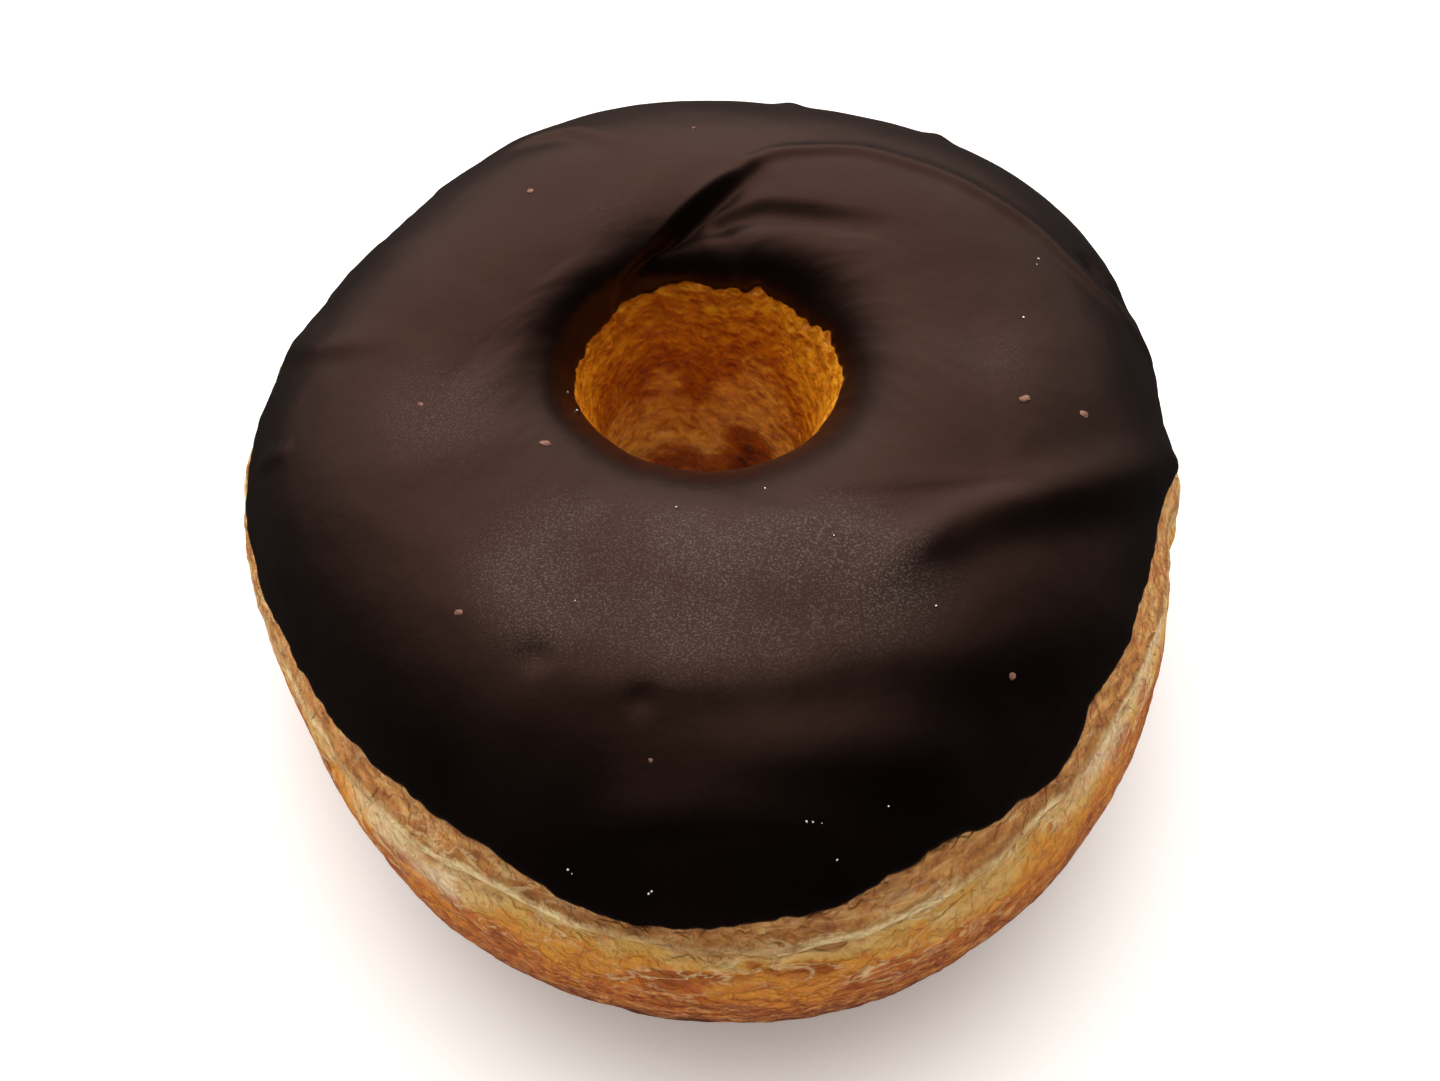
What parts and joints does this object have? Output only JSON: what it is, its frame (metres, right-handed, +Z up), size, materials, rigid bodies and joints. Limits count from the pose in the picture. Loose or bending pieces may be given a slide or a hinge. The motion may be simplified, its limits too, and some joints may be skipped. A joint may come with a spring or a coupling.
{
  "type": "chocolate doughnut",
  "caption": "Ring doughnut of golden fried yeast dough, with a smooth dark chocolate icing over its top and into its hole",
  "frame": {"origin": "on the table, under the middle of the doughnut's box", "axes": "+Z up from the table; +Y away from the viewer, along the doughnut's longer side; +X to the viewer's right"},
  "size_m": [0.0906, 0.103, 0.0432],
  "materials": {
    "fried_dough": "fried yeast dough: golden brown below, pale and wrinkled at the proof line, slightly oily",
    "chocolate_icing": "poured chocolate icing, set: very dark brown, satin, with a fine grain"
  },
  "bodies": {
    "root": {"dough_ring": "fried_dough", "chocolate_icing": "chocolate_icing"}
  },
  "joints": []
}
